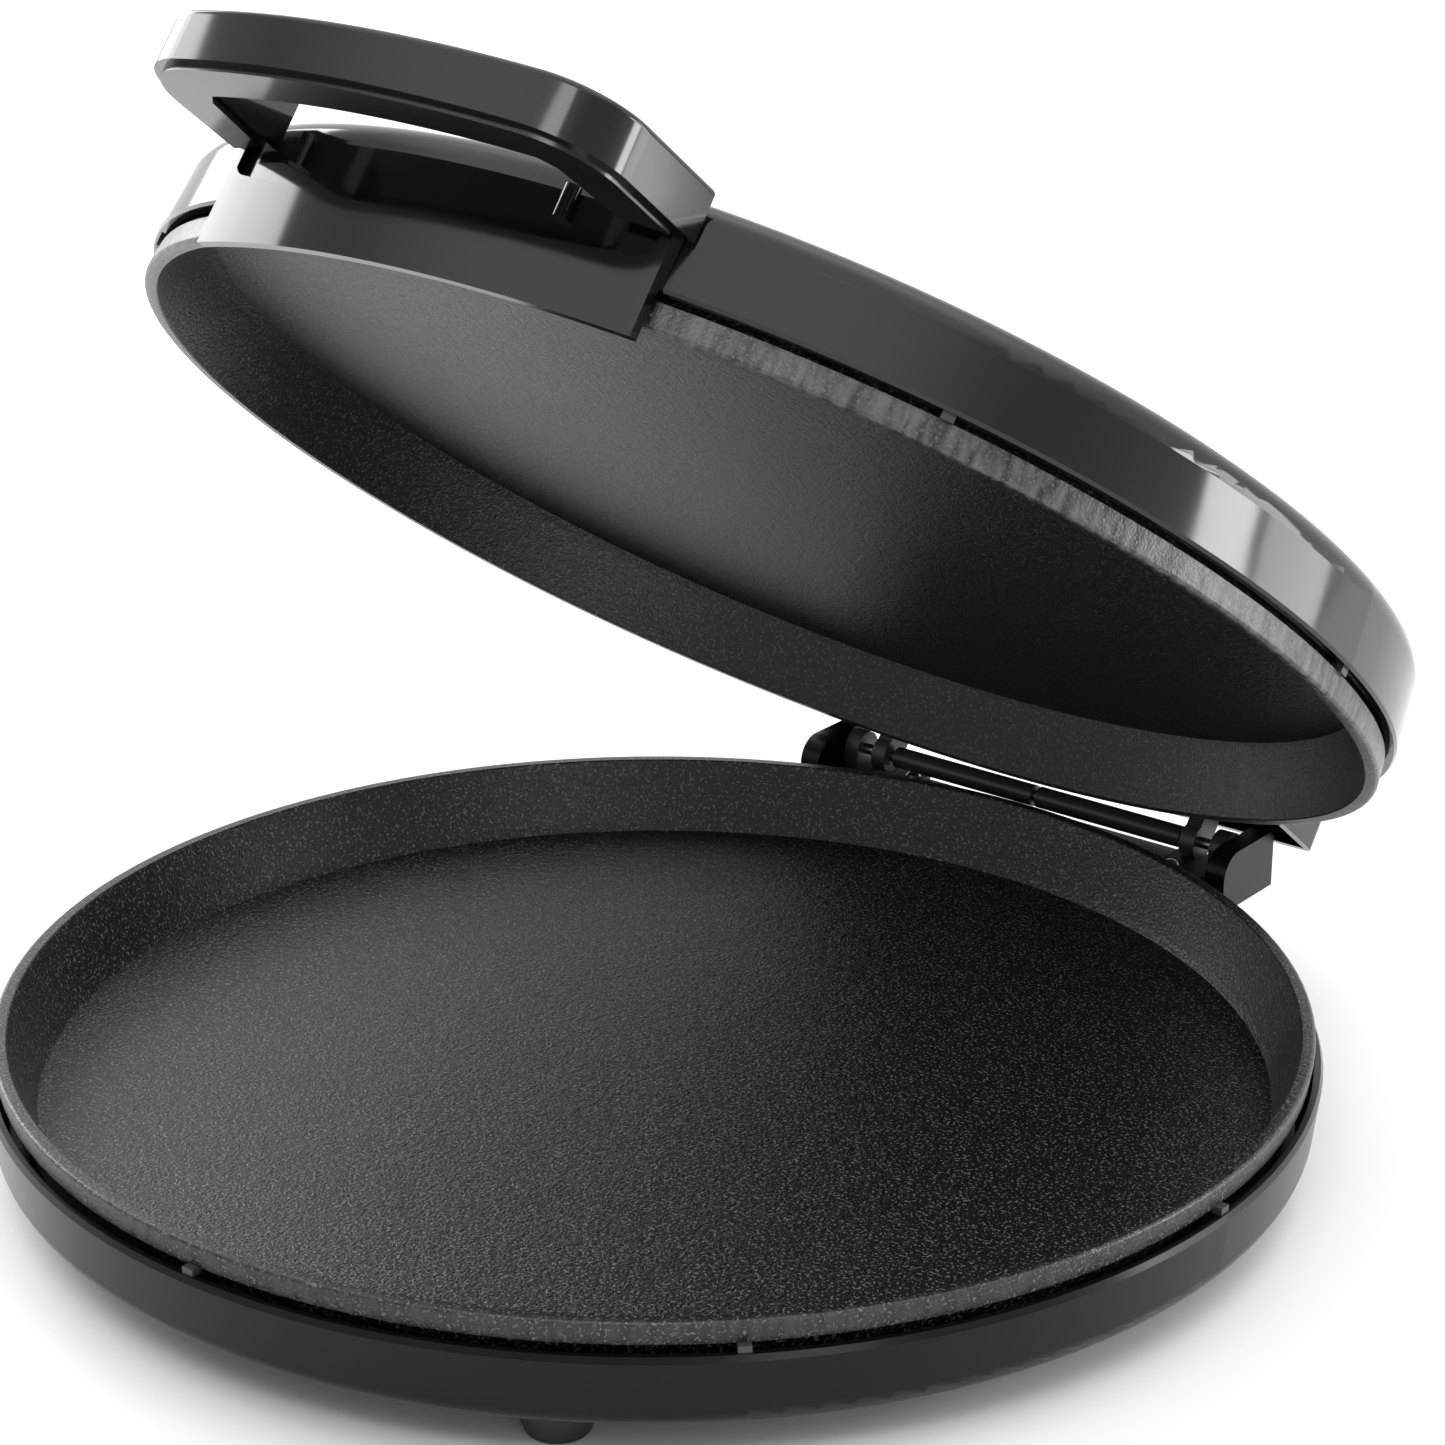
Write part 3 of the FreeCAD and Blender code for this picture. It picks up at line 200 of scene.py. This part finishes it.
def nonstick(name, place, rim_sanding_and_sheen_grey, floor_grey):
    """Speckled non-stick coating over a cast pan; the outer flange wall is tinted lighter in streaks of sanding,
    partly real wear and partly painted sheen.
    """
    paint = Paint(name, (0.006, 0.006, 0.0062), 0.33, place=place)
    fine = paint.noise(1500.0, 2.0)
    coarse = paint.noise(520.0, 2.0)
    flake = paint.noise(1300.0, 1.0)
    radius = paint.radius()
    flange = paint.ramp(radius, FLANGE_START, FLANGE_FULL)
    sanding_and_sheen_streaks = paint.noise(420.0, 3.0, (1.0, 1.0, 0.25))
    paint.tint(paint.ramp(flake, 0.6, 0.65, 0.0, 1.0), (floor_grey,) * 3)
    # Painted sheen: a lighter grey on the flange wall, partly real sanding and partly painted light falling on the
    # wall.
    paint.tint(paint.math("MULTIPLY", flange, paint.ramp(sanding_and_sheen_streaks, 0.35, 0.7)), (rim_sanding_and_sheen_grey,) * 3)
    paint.vary_rough(coarse, -0.06, 0.1)
    rough_area = paint.ramp(radius, FLOOR_END, WALL_START, 1.0, 0.45)
    paint.raise_by(paint.math("MULTIPLY", fine, rough_area), 3.2e-4)
    paint.raise_by(paint.math("MULTIPLY", coarse, rough_area), 3.0e-4)
    return paint.done()


GLOSS = moulding("gloss_black", (0.003, 0.003, 0.003), 0.1, grain=500.0, depth=1e-6, wear=0.02)
SATIN = moulding("satin_black", (0.003, 0.003, 0.003), 0.24, grain=2600.0, depth=4e-6, wear=0.03,
                 Specular_IOR_Level=0.22)
UNDER = moulding("under_black", (0.003, 0.003, 0.003), 0.16, grain=1800.0, depth=2e-6)
FINISH = {
    "housing_black": SATIN,
    "shell_gloss": GLOSS,
    "handle_gloss": GLOSS,
    "handle_under": UNDER,
    "spacer": moulding("spacer_grey", (0.035, 0.035, 0.035), 0.4, grain=3000.0, depth=8e-6),
    "element_steel": metal("heater_tube", (0.3, 0.27, 0.24), 0.42, (1, 1, 1), 1200.0, 2e-5),
    "clip_steel": metal("plated_clip", (0.62, 0.62, 0.6), 0.3),
    "reflector_metal": metal("bright_sheet", (0.8, 0.8, 0.81), 0.24, (1, 20, 1)),
    "screw_steel": metal("plated_screw", (0.6, 0.6, 0.6), 0.28, (1, 1, 6), 1500.0),
    "thermostat_body": moulding("glazed_body", (0.62, 0.58, 0.5), 0.3),
    "fuse_body": metal("drawn_can", (0.7, 0.7, 0.7), 0.3),
    "terminal_plastic": moulding("natural_nylon", (0.55, 0.52, 0.44), 0.45),
    "wire_sleeve": moulding("woven_sleeve", (0.6, 0.57, 0.5), 0.8, grain=1800.0, depth=1e-4),
    "gland_plastic": moulding("gland_black", (0.02, 0.02, 0.02), 0.45, grain=2400.0, depth=9e-6),
    "pin_steel": metal("ground_pin", (0.5, 0.5, 0.5), 0.28, (12, 1, 1)),
    "sleeve_black": moulding("enamel_sleeve", (0.025, 0.025, 0.025), 0.3, grain=1500.0, depth=8e-6),
    "bracket_black": moulding("enamel_bracket", (0.03, 0.03, 0.03), 0.34, grain=1500.0, depth=1e-5),
    "foot_plastic": moulding("foot_black", (0.012, 0.012, 0.012), 0.5, grain=2600.0, depth=1e-5),
    "lens_red": moulding("lens_red", (0.35, 0.01, 0.008), 0.12, grain=1200.0, depth=4e-6),
    "lens_green": moulding("lens_green", (0.01, 0.2, 0.03), 0.12, grain=1200.0, depth=4e-6),
}
FINISH_PAN = {
    # The flange greys are partly painted sheen: the upper pan's flange faces the lamps, so it gets a lighter grey
    # than the lower pan's.
    "lower_pan": nonstick("pan_coat_lower", BASE, rim_sanding_and_sheen_grey=0.03, floor_grey=0.12),
    "upper_pan": nonstick("pan_coat_upper", LID, rim_sanding_and_sheen_grey=0.09, floor_grey=0.07),
}

for part in RECORD["subparts"]:
    node = NODES[part["node"]]
    finish = FINISH_PAN.get(part["node"]) or FINISH[part["material_slot"]]
    node.data.materials.clear()
    node.data.materials.append(finish)

# ---------------------------------------------------------------- floor, light, camera
def plane(name, centre, across, along):
    mesh = bpy.data.meshes.new(name)
    half_a, half_b = across / 2, along / 2
    corners = [(-half_a, -half_b, 0), (half_a, -half_b, 0), (half_a, half_b, 0), (-half_a, half_b, 0)]
    mesh.from_pydata(corners, [], [(0, 1, 2, 3)])
    item = bpy.data.objects.new(name, mesh)
    item.location = centre
    bpy.context.scene.collection.objects.link(item)
    return item


FLOOR_SIDE = 60
floor = plane("floor", Vector((0, 0, 0)), FLOOR_SIDE, FLOOR_SIDE)
floor_paint = Paint("floor_pale", (0.9, 0.9, 0.9), 0.6)
floor_paint.vary_rough(floor_paint.noise(4.0), -0.05, 0.05)
floor.data.materials.append(floor_paint.done())


def soft_light(name, place, target, size, power):
    light = bpy.data.lights.new(name, "AREA")
    light.shape = "RECTANGLE"
    light.size, light.size_y = size
    light.energy = power
    item = bpy.data.objects.new(name, light)
    item.location = place
    item.rotation_euler = (Vector(target) - Vector(place)).to_track_quat("-Z", "Y").to_euler()
    bpy.context.scene.collection.objects.link(item)
    item.visible_camera = False
    return item


def radiance_light(name, centre, target, size, radiance):
    """Soft box of a stated brightness as a glossy surface sees it."""
    return soft_light(name, centre, target, size, math.pi * size[0] * size[1] * radiance)


lid_side = Vector((0.153, -0.01, 0.183))
lid_front = Vector((0.0, -0.13, 0.22))
radiance_light("left_box", (-1.55, 0.10, 0.62), lid_front, (1.12, 0.75), 6.0)
radiance_light("right_strip", (0.93, 0.45, 0.27), lid_side + Vector((0, 0, 0.1)), (0.15, 0.46), 12.0)
radiance_light("right_box", (0.78, 0.62, 0.24), lid_side + Vector((0, 0, 0.05)), (0.24, 0.46), 5.0)
radiance_light("wall_box", (1.30, -0.75, 0.22), Vector((0.0, 0.1, 0.05)), (0.5, 0.4), 3.0)
radiance_light("front_box", (0.645, -1.05, 1.43), lid_front, (0.84, 0.38), 5.0)

world = bpy.data.worlds.new("studio")
bpy.context.scene.world = world
world.use_nodes = True
sky = world.node_tree
background = sky.nodes["Background"]
direction = sky.nodes.new("ShaderNodeTexCoord").outputs["Generated"]
parts = sky.nodes.new("ShaderNodeSeparateXYZ")
sky.links.new(direction, parts.inputs[0])


def sky_step(value, low, high, out_low, out_high):
    item = sky.nodes.new("ShaderNodeMapRange")
    item.interpolation_type = "SMOOTHSTEP"
    for socket, number in zip(("From Min", "From Max", "To Min", "To Max"), (low, high, out_low, out_high)):
        item.inputs[socket].default_value = number
    sky.links.new(value, item.inputs["Value"])
    return item.outputs["Result"]


def sky_add(a, b):
    item = sky.nodes.new("ShaderNodeMath")
    item.operation = "ADD"
    sky.links.new(a, item.inputs[0])
    sky.links.new(b, item.inputs[1])
    return item.outputs[0]


overhead = sky_step(parts.outputs["Z"], 0.55, 0.8, 0.6, 1.5)
behind = sky_step(parts.outputs["Y"], 0.1, 0.6, 0.0, 0.6)
sky.links.new(sky_add(overhead, behind), background.inputs["Strength"])
background.inputs["Color"].default_value = (1, 1, 1, 1)
bpy.context.scene.view_settings.view_transform = "Standard"

VIEW_DIRECTION = Vector((-0.5483, 0.7635, -0.3412))
VIEW_ROLL = math.radians(1.1275)
EYE_FROM_PAN = Vector((0.5385, -0.6743, 0.4020))
LENS_MM = 96.37
SENSOR_MM = 36.0
SHIFT_ACROSS = -0.0854
SHIFT_UP = -0.0463
camera_data = bpy.data.cameras.new("camera")
camera = bpy.data.objects.new("camera", camera_data)
bpy.context.scene.collection.objects.link(camera)
forward = VIEW_DIRECTION.normalized()
level = forward.cross(Vector((0, 0, 1))).normalized()
upward = level.cross(forward)
right = level * math.cos(VIEW_ROLL) + upward * math.sin(VIEW_ROLL)
over = -level * math.sin(VIEW_ROLL) + upward * math.cos(VIEW_ROLL)
eye = BASE_CENTRE + EYE_FROM_PAN
camera.matrix_world = Matrix((
    (right.x, over.x, -forward.x, eye.x),
    (right.y, over.y, -forward.y, eye.y),
    (right.z, over.z, -forward.z, eye.z),
    (0, 0, 0, 1),
))
camera_data.lens = LENS_MM
camera_data.sensor_width = SENSOR_MM
camera_data.shift_x = SHIFT_ACROSS
camera_data.shift_y = SHIFT_UP
camera_data.clip_start = 0.01
bpy.context.scene.camera = camera
